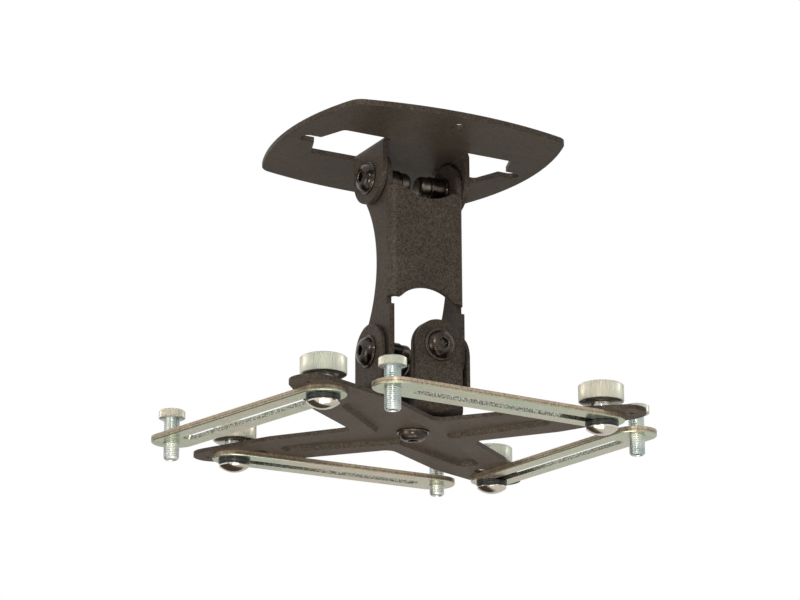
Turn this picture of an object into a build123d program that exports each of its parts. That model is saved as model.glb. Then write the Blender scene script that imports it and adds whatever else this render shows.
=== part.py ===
from build123d import *
from math import cos, radians, sin, tan
import os

os.makedirs("parts", exist_ok=True)

# Heights, measured down from the ceiling face of the plate
upper_pivot_z = -20.0
lower_pivot_z = -118.0

# Ceiling plate: a bowed rectangle with two lanced ears
plate_sheet = 3.0
plate_half_length = 75.5
plate_half_width = 66.0
plate_end_bow = 11.5
plate_side_bow = 8.8
plate_corner_r = 9.0
plate_hole_r = 4.2
plate_hole_y = 52.5
bend_inner_r = 1.5
edge_break = 0.4
same_radius = 0.01

# Ears of the plate and the keyhole openings they were cut from
ear_outer_x = 27.0
ear_half_width = 17.0
ear_reach = 34.0
opening_half_width = 20.0
opening_shoulder_inset = 23.5
opening_neck_inset = 17.5
opening_corner_r = 3.0
screw_slot_r = 4.3
screw_slot_tip_inset = 7.5

# Column: a channel with a web in front and two waisted flanges
column_sheet = 3.0
column_half_width = 23.0
column_front_y = -18.2
column_bend_r = 5.0
bend_trim = 0.01
column_head_r = 15.0
column_foot_r = 16.5
column_waist_y = -2.0
column_head_turn = -30.0
column_foot_turn = 30.0
column_heel_turn = -80.0
web_top_drop = 7.5
web_top_dip = 5.0
web_top_dip_half = 15.0
web_foot_lift = 28.0
web_arch_rise = 7.0
web_arch_half = 16.5
relief_height = 4.5
relief_depth = 5.0

# Tilt bracket: four ears folded up from one cross-shaped base
bracket_sheet = 2.0
bracket_bend_r = 2.5
tilt_ear_outer_x = 27.0
tilt_ear_half_width = 15.0
cross_ear_outer_y = 25.4
cross_ear_half_width = 14.0
tilt_base_drop = 21.0

# Roll bracket: a narrow cradle outside the tilt bracket's front and back ears
roll_ear_outer_y = 29.4
roll_ear_half_width = 14.0
roll_base_drop = 38.4

# Spider: pressed cross with four arms
spider_sheet = 2.3
spider_yaw = -7.5
spider_half_angle = 43.5
hub_half_width = 24.5
arm_waist_r = 22.0
arm_waist_at = 72.0
arm_tip_r = 11.7
arm_tip_outset = 12.0
notch_r = 6.0
clamp_radius = 105.5
rib_rise = 2.5
rib_hub_r = 15.0
rib_tip_r = 5.5
rib_tip_at = 70.0
rib_wall = 1.4
rib_slope = 30.0
rib_inset = 0.1
arm_hole_r = 3.7
arm_hole_inset = 13.5
arm_hole_length = 11.5
arm_pin_hole_r = 1.3
arm_pin_hole_outset = 16.2

# Straps: slotted flats, turned and slid on the clamp bolts
strap_thick = 3.0
strap_half_width = 12.0
strap_reach = 128.5
strap_tip_gap = 10.0
strap_slot_r = 3.4
strap_slot_end_gap = 13.0
strap_groove_depth = 0.8
strap_groove_half_width = 6.2
strap_turns = (102.0, 1.0, -176.0, -84.0)

# Pivot screws: flanged button heads with a hexagon socket
pivot_r = 4.0
head_flange_r = 8.9
head_flange_thick = 1.1
head_dome_r = 7.8
head_height = 5.2
head_flat_r = 3.5
head_arc_through = (0.84, 0.72)
socket_across_flats = 5.0
socket_depth = 2.8
running_gap = 0.06
thread_gap = 0.04

# Cap nuts on the pivot screws
cap_nut_r = 6.9
cap_nut_length = 17.0
cap_nut_step = 10.6
cap_tip_r = 6.2
cap_groove = 0.6
cap_nut_round = 2.4
cap_nut_wall = 2.0
shank_end_gap = 1.0
roll_nut_length = 10.0
roll_nut_step = 6.4
roll_nut_round = 1.8

# Friction washers in the gaps beside the pivots
washer_r = 8.6

# Swivel screw nut
hex_nut_across_flats = 13.0
hex_nut_height = 6.5
swivel_end_proud = 1.5

# Clamp bolts with domed heads, their washers and the thumb nuts
clamp_bolt_r = 3.0
clamp_head_r = 8.3
clamp_head_rim = 0.9
clamp_head_height = 3.9
clamp_arc_through = (0.66, 0.72)
clamp_bolt_top_gap = 3.0
clamp_bolt_lead = 0.6
clamp_washer_r = 8.7
clamp_washer_step_r = 7.9
clamp_washer_thick = 2.9
clamp_washer_step = 0.8
thumb_head_r = 11.9
thumb_head_height = 9.9
thumb_head_break = 0.8
thumb_neck_r = 5.4
thumb_neck_height = 4.9
thumb_recess_r = 9.2
thumb_recess_depth = 0.7

# Threaded height sleeves through the strap ends
sleeve_r = 4.3
sleeve_bore_r = 2.25
sleeve_head_r = 7.1
sleeve_head_height = 4.9
sleeve_length = 27.0
sleeve_head_break = 0.7
sleeve_lead = 0.9
sleeve_standoffs = (10.2, 13.2, 7.7, 8.7)

# Sizes that follow from the ones above
opening_shoulder_x = plate_half_length - opening_shoulder_inset
opening_neck_x = plate_half_length - opening_neck_inset
screw_slot_tip_x = plate_half_length - screw_slot_tip_inset
web_top_z = upper_pivot_z - web_top_drop
web_foot_z = lower_pivot_z + web_foot_lift
relief_y = column_front_y + relief_depth
tilt_base_underside = lower_pivot_z - tilt_base_drop
arm_tip_at = clamp_radius + arm_tip_outset
ear_inner_x = ear_outer_x - plate_sheet
upper_washer_thick = ear_inner_x - column_half_width
flange_inner_x = column_half_width - column_sheet
tilt_ear_inner_x = tilt_ear_outer_x - bracket_sheet
lower_washer_thick = tilt_ear_inner_x - column_half_width
cross_ear_inner_y = cross_ear_outer_y - bracket_sheet
roll_ear_inner_y = roll_ear_outer_y - bracket_sheet
roll_washer_thick = roll_ear_inner_y - cross_ear_outer_y
spider_top = lower_pivot_z - roll_base_drop
roll_base_top = spider_top + bracket_sheet
hub_underside = spider_top - spider_sheet
arm_underside = hub_underside - rib_rise
arm_top = arm_underside + spider_sheet
strap_top = arm_underside
strap_underside = strap_top - strap_thick
clamp_seat_z = strap_underside - clamp_washer_thick
nut_head_top = arm_top + thumb_neck_height + thumb_head_height
plate_corner_x = plate_half_length - plate_end_bow
plate_corner_y = plate_half_width - plate_side_bow
pivot_hole_r = pivot_r + running_gap
arm_turns = (
    spider_yaw + spider_half_angle - 180,
    spider_yaw - spider_half_angle + 180,
    spider_yaw - spider_half_angle,
    spider_yaw + spider_half_angle,
)


def plan_point(turn, distance, start=(0.0, 0.0)):
    return (
        start[0] + distance * cos(radians(turn)),
        start[1] + distance * sin(radians(turn)),
    )


clamp_points = [plan_point(turn, clamp_radius) for turn in arm_turns]
sleeve_points = [
    plan_point(turn, strap_reach, start)
    for turn, start in zip(strap_turns, clamp_points)
]
spider_plane = Plane.XY.rotated((0, 0, spider_yaw))

# Ceiling plate outline, keyhole openings and screw holes
with BuildPart() as ceiling_plate:
    with BuildSketch():
        with BuildLine():
            ThreePointArc(
                (-plate_corner_x, -plate_corner_y),
                (0, -plate_half_width),
                (plate_corner_x, -plate_corner_y),
            )
            ThreePointArc(
                (plate_corner_x, -plate_corner_y),
                (plate_half_length, 0),
                (plate_corner_x, plate_corner_y),
            )
            ThreePointArc(
                (plate_corner_x, plate_corner_y),
                (0, plate_half_width),
                (-plate_corner_x, plate_corner_y),
            )
            ThreePointArc(
                (-plate_corner_x, plate_corner_y),
                (-plate_half_length, 0),
                (-plate_corner_x, -plate_corner_y),
            )
        make_face()
        fillet(vertices(), radius=plate_corner_r)
    extrude(amount=-plate_sheet)
    chamfer(faces().sort_by(Axis.Z)[0].outer_wire().edges(), length=edge_break)
    fold_x = ear_inner_x - bend_inner_r
    shoulder_y = opening_half_width
    with BuildSketch():
        for side in (1, -1):
            with BuildLine():
                FilletPolyline(
                    (side * fold_x, -shoulder_y),
                    (side * opening_shoulder_x, -shoulder_y),
                    (side * opening_neck_x, -screw_slot_r),
                    (side * opening_neck_x, screw_slot_r),
                    (side * opening_shoulder_x, shoulder_y),
                    (side * fold_x, shoulder_y),
                    radius=opening_corner_r,
                    close=True,
                )
            make_face()
            with Locations((side * (screw_slot_tip_x - 2 * screw_slot_r), 0)):
                SlotCenterToCenter(2 * screw_slot_r, 2 * screw_slot_r)
    extrude(amount=-plate_sheet, mode=Mode.SUBTRACT)
    with Locations((0, plate_hole_y), (0, -plate_hole_y)):
        Hole(radius=plate_hole_r)
    # Each ear: a quarter bend, then a leg with a round foot
    with BuildSketch(Plane.XZ):
        for side in (1, -1):
            with BuildLine():
                corner = (side * fold_x, -plate_sheet - bend_inner_r)
                CenterArc(corner, bend_inner_r + plate_sheet, 90, -90 * side)
                CenterArc(corner, bend_inner_r, 90, -90 * side)
                Line(
                    (side * fold_x, 0),
                    (side * fold_x, -plate_sheet),
                )
                Line(
                    (side * ear_inner_x, -plate_sheet - bend_inner_r),
                    (side * ear_outer_x, -plate_sheet - bend_inner_r),
                )
            make_face()
    extrude(amount=ear_half_width, both=True)
    foot_z = ear_half_width - ear_reach
    for side in (1, -1):
        with BuildSketch(Plane.YZ.offset(side * (ear_inner_x + plate_sheet / 2))):
            with BuildLine():
                Polyline(
                    (-ear_half_width, foot_z),
                    (-ear_half_width, -plate_sheet - bend_inner_r),
                    (ear_half_width, -plate_sheet - bend_inner_r),
                    (ear_half_width, foot_z),
                )
                ThreePointArc(
                    (-ear_half_width, foot_z),
                    (0, -ear_reach),
                    (ear_half_width, foot_z),
                )
            make_face()
            with Locations((0, upper_pivot_z)):
                Circle(pivot_hole_r, mode=Mode.SUBTRACT)
        extrude(amount=plate_sheet / 2, both=True)

# Side outline shared by both flanges of the column
with BuildSketch(Plane.YZ) as flange_outline:
    head_back = plan_point(column_head_turn, column_head_r, (0, upper_pivot_z))
    head_front = (-column_head_r, upper_pivot_z)
    foot_back = plan_point(column_foot_turn, column_foot_r, (0, lower_pivot_z))
    foot_front = (-column_foot_r, lower_pivot_z)
    relief_foot = web_foot_z - relief_height
    waist_z = (head_back[1] + foot_back[1]) / 2
    with BuildLine():
        ThreePointArc(
            head_front,
            (0, upper_pivot_z + column_head_r),
            head_back,
        )
        ThreePointArc(head_back, (column_waist_y, waist_z), foot_back)
        ThreePointArc(
            foot_back,
            plan_point(column_heel_turn, column_foot_r, (0, lower_pivot_z)),
            foot_front,
        )
        Polyline(
            foot_front,
            (-column_foot_r, relief_foot),
            (relief_y, relief_foot),
            (relief_y, web_top_z),
            (-column_head_r, web_top_z),
            head_front,
        )
    make_face()
    with Locations((0, upper_pivot_z), (0, lower_pivot_z)):
        Circle(pivot_r + thread_gap, mode=Mode.SUBTRACT)

# Column: the bent web, then the two flanges
with BuildPart() as column:
    mid_x = column_half_width - column_sheet / 2
    mid_y = column_front_y + column_sheet / 2
    with BuildSketch(Plane.XY.offset(web_foot_z)):
        with BuildLine():
            FilletPolyline(
                (-mid_x, relief_y),
                (-mid_x, mid_y),
                (mid_x, mid_y),
                (mid_x, relief_y),
                radius=column_bend_r - column_sheet / 2 - bend_trim,
            )
        trace(line_width=column_sheet)
    extrude(amount=web_top_z - web_foot_z)
    with BuildSketch(Plane.XZ.offset(-column_front_y)):
        with BuildLine():
            Line(
                (-web_top_dip_half, web_top_z),
                (web_top_dip_half, web_top_z),
            )
            ThreePointArc(
                (-web_top_dip_half, web_top_z),
                (0, web_top_z - web_top_dip),
                (web_top_dip_half, web_top_z),
            )
        make_face()
        with BuildLine():
            Line((-web_arch_half, web_foot_z), (web_arch_half, web_foot_z))
            ThreePointArc(
                (-web_arch_half, web_foot_z),
                (0, web_foot_z + web_arch_rise),
                (web_arch_half, web_foot_z),
            )
        make_face()
    extrude(amount=-2 * column_sheet, mode=Mode.SUBTRACT)
    for side in (1, -1):
        with BuildSketch(Plane.YZ.offset(side * mid_x)):
            add(flange_outline.sketch_local)
        extrude(amount=column_sheet / 2, both=True)

# Tilt bracket strip with the left and right ears
with BuildPart() as tilt_strip:
    strip_x = tilt_ear_outer_x - bracket_sheet / 2
    strip_z = tilt_base_underside + bracket_sheet / 2
    with BuildSketch(Plane.XZ):
        with BuildLine():
            FilletPolyline(
                (-strip_x, lower_pivot_z + tilt_ear_half_width),
                (-strip_x, strip_z),
                (strip_x, strip_z),
                (strip_x, lower_pivot_z + tilt_ear_half_width),
                radius=bracket_bend_r + bracket_sheet / 2,
            )
        trace(line_width=bracket_sheet)
    extrude(amount=tilt_ear_half_width, both=True)
    with BuildSketch(Plane.YZ):
        with Locations((0, lower_pivot_z)):
            Circle(tilt_ear_half_width)
            Rectangle(
                2 * tilt_ear_half_width,
                lower_pivot_z - tilt_base_underside,
                align=(Align.CENTER, Align.MAX),
            )
            Circle(pivot_hole_r, mode=Mode.SUBTRACT)
    extrude(amount=tilt_ear_outer_x, both=True, mode=Mode.INTERSECT)

# Tilt bracket strip with the front and back ears
with BuildPart() as cross_strip:
    strip_y = cross_ear_outer_y - bracket_sheet / 2
    with BuildSketch(Plane.YZ):
        with BuildLine():
            FilletPolyline(
                (-strip_y, lower_pivot_z + cross_ear_half_width),
                (-strip_y, strip_z),
                (strip_y, strip_z),
                (strip_y, lower_pivot_z + cross_ear_half_width),
                radius=bracket_bend_r + bracket_sheet / 2,
            )
        trace(line_width=bracket_sheet)
    extrude(amount=cross_ear_half_width, both=True)
    with BuildSketch(Plane.XZ):
        with Locations((0, lower_pivot_z)):
            Circle(cross_ear_half_width)
            Rectangle(
                2 * cross_ear_half_width,
                lower_pivot_z - tilt_base_underside,
                align=(Align.CENTER, Align.MAX),
            )
            Circle(pivot_r + thread_gap, mode=Mode.SUBTRACT)
    extrude(amount=cross_ear_outer_y, both=True, mode=Mode.INTERSECT)

with BuildPart() as tilt_bracket:
    add(tilt_strip.part)
    add(cross_strip.part)

# Roll bracket: cradle with a swivel hole in its base
with BuildPart() as roll_bracket:
    cradle_y = roll_ear_outer_y - bracket_sheet / 2
    cradle_z = spider_top + bracket_sheet / 2
    with BuildSketch(Plane.YZ):
        with BuildLine():
            FilletPolyline(
                (-cradle_y, lower_pivot_z + roll_ear_half_width),
                (-cradle_y, cradle_z),
                (cradle_y, cradle_z),
                (cradle_y, lower_pivot_z + roll_ear_half_width),
                radius=bracket_bend_r + bracket_sheet / 2,
            )
        trace(line_width=bracket_sheet)
    extrude(amount=roll_ear_half_width, both=True)
    with BuildSketch(Plane.XZ):
        with Locations((0, lower_pivot_z)):
            Circle(roll_ear_half_width)
            Rectangle(
                2 * roll_ear_half_width,
                lower_pivot_z - spider_top,
                align=(Align.CENTER, Align.MAX),
            )
            Circle(pivot_hole_r, mode=Mode.SUBTRACT)
    extrude(amount=roll_ear_outer_y, both=True, mode=Mode.INTERSECT)
    with Locations((0, 0, roll_base_top)):
        Hole(radius=pivot_r + thread_gap, depth=2 * bracket_sheet)

# Plan outline of the spider: four tapering arms with round tips
with BuildSketch() as arm_outline:
    Circle(hub_half_width)
    with Locations((arm_waist_at, 0)):
        Circle(arm_waist_r)
    make_hull()
with BuildSketch() as arm_tip_outline:
    with Locations((arm_waist_at, 0)):
        Circle(arm_waist_r)
    with Locations((arm_tip_at, 0)):
        Circle(arm_tip_r)
    make_hull()
with BuildSketch() as rib_outline:
    Circle(rib_hub_r)
    with Locations((rib_tip_at, 0)):
        Circle(rib_tip_r)
    make_hull()
with BuildSketch() as spider_outline:
    with Locations(*[Rotation(0, 0, turn) for turn in arm_turns]):
        add(arm_outline.sketch)
        add(arm_tip_outline.sketch)
with BuildSketch() as rib_cross:
    with Locations(*[Rotation(0, 0, turn) for turn in arm_turns]):
        add(rib_outline.sketch)

with BuildPart() as spider:
    with BuildSketch(Plane.XY.offset(arm_underside)):
        add(spider_outline.sketch)
    extrude(amount=spider_sheet)
    uprights = edges().filter_by(Axis.Z)
    notches = uprights.filter_by(
        lambda e: Vector(e.center().X, e.center().Y).length < 2 * hub_half_width
    )
    fillet(notches, radius=notch_r)
    # The ribs are pressed up: a boss above and a matching hollow below
    with BuildSketch(Plane.XY.offset(arm_top)):
        add(rib_cross.sketch)
        offset(amount=rib_wall + rib_rise * tan(radians(rib_slope)))
    extrude(amount=rib_rise, taper=rib_slope)
    with BuildSketch(Plane.XY.offset(arm_underside)):
        add(rib_cross.sketch)
        offset(amount=rib_rise * tan(radians(rib_slope)) - rib_inset)
    extrude(amount=rib_rise, taper=rib_slope, mode=Mode.SUBTRACT)
    with Locations((0, 0, spider_top)):
        Hole(radius=pivot_hole_r, depth=2 * spider_sheet)
    with Locations(*[(*point, arm_top) for point in clamp_points]):
        Hole(radius=clamp_bolt_r + running_gap, depth=2 * spider_sheet)
    inset = clamp_radius - arm_hole_inset
    with BuildSketch(Plane.XY.offset(arm_top)):
        for turn in arm_turns:
            with Locations(plan_point(turn, inset)):
                SlotOverall(arm_hole_length, 2 * arm_hole_r, rotation=turn)
    extrude(amount=-2 * spider_sheet, mode=Mode.SUBTRACT)
    outset = clamp_radius + arm_pin_hole_outset
    with Locations(*[(*plan_point(turn, outset), arm_top) for turn in arm_turns]):
        Hole(radius=arm_pin_hole_r, depth=2 * spider_sheet)

# Flanged button-head screw, pointing down, seat at zero
with BuildPart() as pivot_screw:
    with BuildSketch(Plane.XZ):
        with BuildLine():
            Polyline(
                (0, head_height),
                (0, 0),
                (head_flange_r, 0),
                (head_flange_r, head_flange_thick / 2),
                (head_dome_r, head_flange_thick),
            )
            ThreePointArc(
                (head_dome_r, head_flange_thick),
                (head_arc_through[0] * head_dome_r, head_arc_through[1] * head_height),
                (head_flat_r, head_height),
            )
            Line((head_flat_r, head_height), (0, head_height))
        make_face()
    revolve(axis=Axis.Z)
    with BuildSketch(Plane.XY.offset(head_height)):
        RegularPolygon(socket_across_flats / 2, 6, major_radius=False)
    extrude(amount=-socket_depth, mode=Mode.SUBTRACT)
    chamfer(
        edges().filter_by(GeomType.LINE).group_by(Axis.Z)[-1],
        length=edge_break,
    )

# Cap nut: open end at zero, round tip up
with BuildPart() as cap_nut:
    Cylinder(cap_nut_r, cap_nut_step, align=(Align.CENTER, Align.CENTER, Align.MIN))
    chamfer(edges().filter_by(GeomType.CIRCLE), length=edge_break)
    with Locations((0, 0, cap_nut_step)):
        Cylinder(
            cap_tip_r - cap_groove,
            cap_groove,
            align=(Align.CENTER, Align.CENTER, Align.MIN),
        )
    with Locations((0, 0, cap_nut_step + cap_groove)):
        Cylinder(
            cap_tip_r,
            cap_nut_length - cap_nut_step - cap_groove,
            align=(Align.CENTER, Align.CENTER, Align.MIN),
        )
    fillet(faces().sort_by(Axis.Z)[-1].edges(), radius=cap_nut_round)
    Cylinder(
        pivot_r + thread_gap,
        cap_nut_length - cap_nut_wall,
        align=(Align.CENTER, Align.CENTER, Align.MIN),
        mode=Mode.SUBTRACT,
    )

# Shorter cap nut for the roll pivot
with BuildPart() as roll_cap_nut:
    Cylinder(cap_nut_r, roll_nut_step, align=(Align.CENTER, Align.CENTER, Align.MIN))
    chamfer(edges().filter_by(GeomType.CIRCLE), length=edge_break)
    with Locations((0, 0, roll_nut_step)):
        Cylinder(
            cap_tip_r,
            roll_nut_length - roll_nut_step,
            align=(Align.CENTER, Align.CENTER, Align.MIN),
        )
    fillet(faces().sort_by(Axis.Z)[-1].edges(), radius=roll_nut_round)
    Cylinder(
        pivot_r + thread_gap,
        roll_nut_length - cap_nut_wall,
        align=(Align.CENTER, Align.CENTER, Align.MIN),
        mode=Mode.SUBTRACT,
    )

# Domed clamp bolt: seat of the head at zero, shank up
clamp_shank = nut_head_top - clamp_bolt_top_gap - clamp_seat_z
with BuildPart() as clamp_bolt:
    with BuildSketch(Plane.XZ):
        with BuildLine():
            dome = ThreePointArc(
                (0, -clamp_head_height),
                (clamp_arc_through[0] * clamp_head_r, -clamp_arc_through[1] * clamp_head_height),
                (clamp_head_r, -clamp_head_rim),
            )
            Polyline(
                dome @ 1,
                (clamp_head_r, 0),
                (clamp_bolt_r, 0),
                (clamp_bolt_r, clamp_shank - clamp_bolt_lead),
                (clamp_bolt_r - clamp_bolt_lead, clamp_shank),
                (0, clamp_shank),
                (0, -clamp_head_height),
            )
        make_face()
    revolve(axis=Axis.Z)

# Stepped washer under each clamp bolt head
with BuildPart() as clamp_washer:
    with Locations((0, 0, clamp_washer_step)):
        Cylinder(
            clamp_washer_r,
            clamp_washer_thick - clamp_washer_step,
            align=(Align.CENTER, Align.CENTER, Align.MIN),
        )
    Cylinder(
        clamp_washer_step_r,
        clamp_washer_step,
        align=(Align.CENTER, Align.CENTER, Align.MIN),
    )
    Hole(radius=clamp_bolt_r + thread_gap)

# Thumb nut: smooth neck below a broad rim
with BuildPart() as thumb_nut:
    Cylinder(
        thumb_neck_r,
        thumb_neck_height,
        align=(Align.CENTER, Align.CENTER, Align.MIN),
    )
    with Locations((0, 0, thumb_neck_height)):
        Cylinder(
            thumb_head_r,
            thumb_head_height,
            align=(Align.CENTER, Align.CENTER, Align.MIN),
        )
    chamfer(
        edges().filter_by(GeomType.CIRCLE).filter_by(
            lambda e: abs(e.radius - thumb_head_r) < same_radius
        ),
        length=thumb_head_break,
    )
    with BuildSketch(Plane.XY.offset(thumb_neck_height + thumb_head_height)):
        Circle(thumb_recess_r)
        Circle(thumb_neck_r, mode=Mode.SUBTRACT)
    extrude(amount=-thumb_recess_depth, mode=Mode.SUBTRACT)
    Hole(radius=clamp_bolt_r + thread_gap)

# Height sleeve: threaded tube with a round head, seat of the head at zero
with BuildPart() as height_sleeve:
    shank = sleeve_length - sleeve_head_height
    Cylinder(
        sleeve_head_r,
        sleeve_head_height,
        align=(Align.CENTER, Align.CENTER, Align.MIN),
    )
    chamfer(edges().filter_by(GeomType.CIRCLE), length=sleeve_head_break)
    with Locations((0, 0, -shank)):
        Cylinder(
            sleeve_r,
            shank,
            align=(Align.CENTER, Align.CENTER, Align.MIN),
        )
    chamfer(faces().sort_by(Axis.Z)[0].edges(), length=sleeve_lead)
    Hole(radius=sleeve_bore_r)

# Slotted strap along +X, clamp end at the origin, underside at zero
with BuildPart() as slotted_strap:
    slot_length = strap_reach - strap_slot_end_gap - strap_slot_r
    strap_round_x = strap_reach + strap_tip_gap - strap_half_width
    with BuildSketch():
        with Locations((strap_round_x / 2, 0)):
            SlotCenterToCenter(strap_round_x, 2 * strap_half_width)
    extrude(amount=strap_thick)
    chamfer(faces().sort_by(Axis.Z)[0].edges(), length=edge_break)
    with BuildSketch():
        with Locations((slot_length / 2, 0)):
            SlotCenterToCenter(slot_length, 2 * strap_slot_r)
    extrude(amount=strap_thick, mode=Mode.SUBTRACT)
    with BuildSketch(Plane.XY.offset(strap_thick)):
        with Locations((slot_length / 2, 0)):
            SlotCenterToCenter(slot_length, 2 * strap_groove_half_width)
    extrude(amount=-strap_groove_depth, mode=Mode.SUBTRACT)
    with Locations((strap_reach, 0)):
        Hole(radius=sleeve_r + running_gap)

# Pivot hardware along the two tilt axes
cap_nut_depth = cap_nut_length - cap_nut_wall - shank_end_gap
roll_nut_depth = roll_nut_length - cap_nut_wall - shank_end_gap
upper_shank = ear_outer_x - flange_inner_x + cap_nut_depth
lower_shank = tilt_ear_outer_x - flange_inner_x + cap_nut_depth
roll_shank = roll_ear_outer_y - cross_ear_inner_y + roll_nut_depth
swivel_shank = hex_nut_height + roll_base_top - hub_underside + swivel_end_proud


def seat(origin, direction):
    return Plane(origin=origin, z_dir=direction)


with BuildPart(seat((-ear_outer_x, 0, upper_pivot_z), (-1, 0, 0))) as upper_screw_left:
    add(pivot_screw.part)
    Cylinder(pivot_r, upper_shank, align=(Align.CENTER, Align.CENTER, Align.MAX))
with BuildPart(seat((ear_outer_x, 0, upper_pivot_z), (1, 0, 0))) as upper_screw_right:
    add(pivot_screw.part)
    Cylinder(pivot_r, upper_shank, align=(Align.CENTER, Align.CENTER, Align.MAX))
with BuildPart(
    seat((-tilt_ear_outer_x, 0, lower_pivot_z), (-1, 0, 0))
) as lower_screw_left:
    add(pivot_screw.part)
    Cylinder(pivot_r, lower_shank, align=(Align.CENTER, Align.CENTER, Align.MAX))
with BuildPart(
    seat((tilt_ear_outer_x, 0, lower_pivot_z), (1, 0, 0))
) as lower_screw_right:
    add(pivot_screw.part)
    Cylinder(pivot_r, lower_shank, align=(Align.CENTER, Align.CENTER, Align.MAX))
with BuildPart(
    seat((0, -roll_ear_outer_y, lower_pivot_z), (0, -1, 0))
) as roll_screw_front:
    add(pivot_screw.part)
    Cylinder(pivot_r, roll_shank, align=(Align.CENTER, Align.CENTER, Align.MAX))
with BuildPart(
    seat((0, roll_ear_outer_y, lower_pivot_z), (0, 1, 0))
) as roll_screw_back:
    add(pivot_screw.part)
    Cylinder(pivot_r, roll_shank, align=(Align.CENTER, Align.CENTER, Align.MAX))
with BuildPart(seat((0, 0, hub_underside), (0, 0, -1))) as swivel_screw:
    add(pivot_screw.part)
    Cylinder(pivot_r, swivel_shank, align=(Align.CENTER, Align.CENTER, Align.MAX))

with BuildPart(seat((-flange_inner_x, 0, upper_pivot_z), (1, 0, 0))) as upper_nut_left:
    add(cap_nut.part)
with BuildPart(seat((flange_inner_x, 0, upper_pivot_z), (-1, 0, 0))) as upper_nut_right:
    add(cap_nut.part)
with BuildPart(seat((-flange_inner_x, 0, lower_pivot_z), (1, 0, 0))) as lower_nut_left:
    add(cap_nut.part)
with BuildPart(seat((flange_inner_x, 0, lower_pivot_z), (-1, 0, 0))) as lower_nut_right:
    add(cap_nut.part)
with BuildPart(seat((0, -cross_ear_inner_y, lower_pivot_z), (0, 1, 0))) as roll_nut_front:
    add(roll_cap_nut.part)
with BuildPart(seat((0, cross_ear_inner_y, lower_pivot_z), (0, -1, 0))) as roll_nut_back:
    add(roll_cap_nut.part)
with BuildPart() as swivel_nut:
    with BuildSketch(Plane.XY.offset(roll_base_top)):
        RegularPolygon(hex_nut_across_flats / 2, 6, major_radius=False)
        Circle(pivot_r + thread_gap, mode=Mode.SUBTRACT)
    extrude(amount=hex_nut_height)

# Washers that fill the gaps beside the pivots
with BuildPart() as upper_washer_left:
    with BuildSketch(seat((-column_half_width, 0, upper_pivot_z), (-1, 0, 0))):
        Circle(washer_r)
        Circle(pivot_r + thread_gap, mode=Mode.SUBTRACT)
    extrude(amount=upper_washer_thick)
with BuildPart() as upper_washer_right:
    with BuildSketch(seat((column_half_width, 0, upper_pivot_z), (1, 0, 0))):
        Circle(washer_r)
        Circle(pivot_r + thread_gap, mode=Mode.SUBTRACT)
    extrude(amount=upper_washer_thick)
with BuildPart() as lower_washer_left:
    with BuildSketch(seat((-column_half_width, 0, lower_pivot_z), (-1, 0, 0))):
        Circle(washer_r)
        Circle(pivot_r + thread_gap, mode=Mode.SUBTRACT)
    extrude(amount=lower_washer_thick)
with BuildPart() as lower_washer_right:
    with BuildSketch(seat((column_half_width, 0, lower_pivot_z), (1, 0, 0))):
        Circle(washer_r)
        Circle(pivot_r + thread_gap, mode=Mode.SUBTRACT)
    extrude(amount=lower_washer_thick)
with BuildPart() as roll_washer_front:
    with BuildSketch(seat((0, -cross_ear_outer_y, lower_pivot_z), (0, -1, 0))):
        Circle(washer_r)
        Circle(pivot_r + thread_gap, mode=Mode.SUBTRACT)
    extrude(amount=roll_washer_thick)
with BuildPart() as roll_washer_back:
    with BuildSketch(seat((0, cross_ear_outer_y, lower_pivot_z), (0, 1, 0))):
        Circle(washer_r)
        Circle(pivot_r + thread_gap, mode=Mode.SUBTRACT)
    extrude(amount=roll_washer_thick)

pieces = {
    "ceiling_plate": ceiling_plate,
    "column": column,
    "tilt_bracket": tilt_bracket,
    "roll_bracket": roll_bracket,
    "spider": spider,
    "upper_screw_left": upper_screw_left,
    "upper_screw_right": upper_screw_right,
    "upper_nut_left": upper_nut_left,
    "upper_nut_right": upper_nut_right,
    "upper_washer_left": upper_washer_left,
    "upper_washer_right": upper_washer_right,
    "lower_screw_left": lower_screw_left,
    "lower_screw_right": lower_screw_right,
    "lower_nut_left": lower_nut_left,
    "lower_nut_right": lower_nut_right,
    "lower_washer_left": lower_washer_left,
    "lower_washer_right": lower_washer_right,
    "roll_screw_front": roll_screw_front,
    "roll_screw_back": roll_screw_back,
    "roll_nut_front": roll_nut_front,
    "roll_nut_back": roll_nut_back,
    "roll_washer_front": roll_washer_front,
    "roll_washer_back": roll_washer_back,
    "swivel_screw": swivel_screw,
    "swivel_nut": swivel_nut,
}
for name, piece in pieces.items():
    piece.part.label = name
    export_step(piece.part, f"parts/{name}.step")

# Four clamps, straps and sleeves, numbered by arm
for number in range(4):
    x, y = clamp_points[number]
    turn = strap_turns[number]
    with BuildPart(Plane((x, y, strap_underside)).rotated((0, 0, turn))) as strap:
        add(slotted_strap.part)
    strap.part.label = f"strap_{number + 1}"
    export_step(strap.part, f"parts/strap_{number + 1}.step")

    with BuildPart(Plane((x, y, clamp_seat_z))) as bolt:
        add(clamp_bolt.part)
    bolt.part.label = f"clamp_bolt_{number + 1}"
    export_step(bolt.part, f"parts/clamp_bolt_{number + 1}.step")

    with BuildPart(Plane((x, y, clamp_seat_z))) as washer:
        add(clamp_washer.part)
    washer.part.label = f"clamp_washer_{number + 1}"
    export_step(washer.part, f"parts/clamp_washer_{number + 1}.step")

    with BuildPart(Plane((x, y, arm_top))) as nut:
        add(thumb_nut.part)
    nut.part.label = f"thumb_nut_{number + 1}"
    export_step(nut.part, f"parts/thumb_nut_{number + 1}.step")

    end_x, end_y = sleeve_points[number]
    sleeve_seat = strap_top + sleeve_standoffs[number]
    with BuildPart(Plane((end_x, end_y, sleeve_seat))) as sleeve:
        add(height_sleeve.part)
    sleeve.part.label = f"sleeve_{number + 1}"
    export_step(sleeve.part, f"parts/sleeve_{number + 1}.step")
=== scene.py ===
import math

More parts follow.
